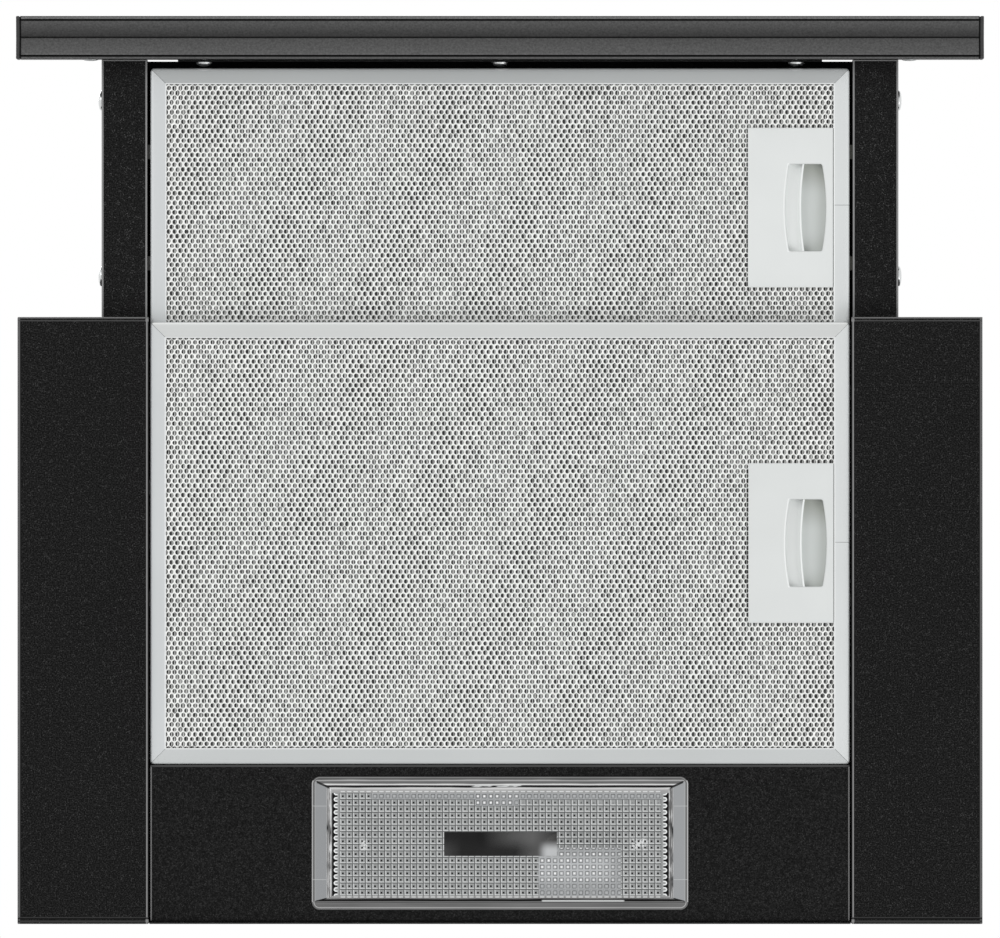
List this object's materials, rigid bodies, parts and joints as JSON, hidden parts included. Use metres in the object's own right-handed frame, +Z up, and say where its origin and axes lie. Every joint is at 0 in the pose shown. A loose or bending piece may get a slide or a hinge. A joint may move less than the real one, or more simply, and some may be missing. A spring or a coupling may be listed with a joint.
{
  "type": "pull out range hood",
  "caption": "Slim range hood for a wall cabinet: a drawer with its own grease filter pulls out of a flat body with a rear filter, lamp, blower box and round duct collar.",
  "frame": {"origin": "under the middle of the hood with its drawer drawn out, on the plane of its lowest faces", "axes": "+Z up towards the duct, -Y towards the user (the drawer comes out along -Y), +X to the right of someone facing the hood's back from its front"},
  "size_m": [0.5, 0.469, 0.178],
  "materials": {
    "black_coat": "black powder coat with a fine texture",
    "grey_strip": "dark grey satin profile",
    "zinc": "bright zinc",
    "aluminium": "satin aluminium",
    "pale_plastic": "pale grey satin plastic",
    "dark_plastic": "black moulded plastic",
    "white_plastic": "off-white moulded plastic",
    "clear_plastic": "clear ribbed plastic",
    "spring_steel": "bright steel",
    "lamp_glass": "opal lamp glass",
    "switch_grey": "grey moulded plastic"
  },
  "bodies": {
    "housing": {"left_side_casing": "black_coat", "right_side_casing": "black_coat", "body_deck": "black_coat", "rear_panel": "black_coat", "front_apron": "black_coat", "motor_box": "black_coat", "motor_box_top": "black_coat", "left_rail": "zinc", "right_rail": "zinc", "lamp_panel": "black_coat", "switch_plate": "dark_plastic", "capacitor": "white_plastic", "terminal_box": "dark_plastic", "cable_gland": "dark_plastic", "lamp_reflector": "aluminium", "lamp_holder": "white_plastic", "lamp_bulb": "lamp_glass", "scroll_floor": "dark_plastic", "scroll_wall": "dark_plastic", "scroll_cover": "dark_plastic", "motor_housing": "zinc", "duct_collar": "black_coat", "flap_pin": "spring_steel"},
    "fan": {"fan_disc": "dark_plastic", "fan_blades": "dark_plastic", "motor_shaft": "spring_steel", "shaft_nut": "zinc"},
    "front_flap": {"front_flap": "zinc"},
    "rear_flap": {"rear_flap": "zinc"},
    "lamp_cover": {"lamp_cover": "clear_plastic"},
    "speed_switch": {"speed_switch_knob": "switch_grey"},
    "lamp_switch": {"lamp_switch_knob": "switch_grey"},
    "rear_filter": {"rear_filter_frame": "aluminium", "rear_filter_mesh": "aluminium", "rear_filter_latch_plate": "pale_plastic", "rear_filter_latch_spring": "spring_steel"},
    "rear_latch": {"rear_filter_latch_slider": "pale_plastic"},
    "drawer": {"front_strip": "grey_strip", "left_end_cap": "dark_plastic", "right_end_cap": "dark_plastic", "left_arm": "black_coat", "right_arm": "black_coat", "left_runner": "white_plastic", "right_runner": "white_plastic", "crossbar": "black_coat", "drawer_cover": "black_coat", "left_front_rivet": "zinc", "left_rear_rivet": "zinc", "right_front_rivet": "zinc", "right_rear_rivet": "zinc", "crossbar_screw_left": "zinc", "crossbar_screw_middle": "zinc", "crossbar_screw_right": "zinc", "strip_screw_left": "zinc", "strip_screw_right": "zinc", "front_filter_frame": "aluminium", "front_filter_mesh": "aluminium", "front_filter_latch_plate": "pale_plastic", "front_filter_latch_spring": "spring_steel"},
    "front_latch": {"front_filter_latch_slider": "pale_plastic"}
  },
  "joints": [
    {"name": "drawer_slide", "type": "slide", "parent": "housing", "child": "drawer", "axis": [0, 1, 0], "range_m": [0, 0.132]},
    {"name": "front_latch_slide", "type": "slide", "parent": "drawer", "child": "front_latch", "axis": [-1, 0, 0], "range_m": [0, 0.006], "stiffness_N_per_m": 300, "springref_m": -0.004, "deforming": ["front_filter_latch_spring"]},
    {"name": "rear_filter_hinge", "type": "hinge", "parent": "housing", "child": "rear_filter", "pos_m": [-0.181, 0.03775, 0.0022], "axis": [0, 1, 0], "range_deg": [0, 70]},
    {"name": "rear_latch_slide", "type": "slide", "parent": "rear_filter", "child": "rear_latch", "axis": [-1, 0, 0], "range_m": [0, 0.006], "stiffness_N_per_m": 300, "springref_m": -0.004, "deforming": ["rear_filter_latch_spring"]},
    {"name": "lamp_cover_hinge", "type": "hinge", "parent": "housing", "child": "lamp_cover", "pos_m": [-0.09725, 0.1927, 0.0029], "axis": [0, 1, 0], "range_deg": [0, 80]},
    {"name": "fan_spin", "type": "hinge", "parent": "housing", "child": "fan", "pos_m": [-0.062, 0.045, 0.105], "axis": [0, 0, 1], "continuous": true},
    {"name": "front_flap_swing", "type": "hinge", "parent": "housing", "child": "front_flap", "pos_m": [0, 0.16, 0.1549], "axis": [-1, 0, 0], "range_deg": [0, 75]},
    {"name": "rear_flap_swing", "type": "hinge", "parent": "housing", "child": "rear_flap", "pos_m": [0, 0.16, 0.1549], "axis": [1, 0, 0], "range_deg": [0, 75]},
    {"name": "speed_switch_slide", "type": "slide", "parent": "housing", "child": "speed_switch", "axis": [1, 0, 0], "range_m": [0, 0.014]},
    {"name": "lamp_switch_slide", "type": "slide", "parent": "housing", "child": "lamp_switch", "axis": [1, 0, 0], "range_m": [0, 0.014]}
  ]
}
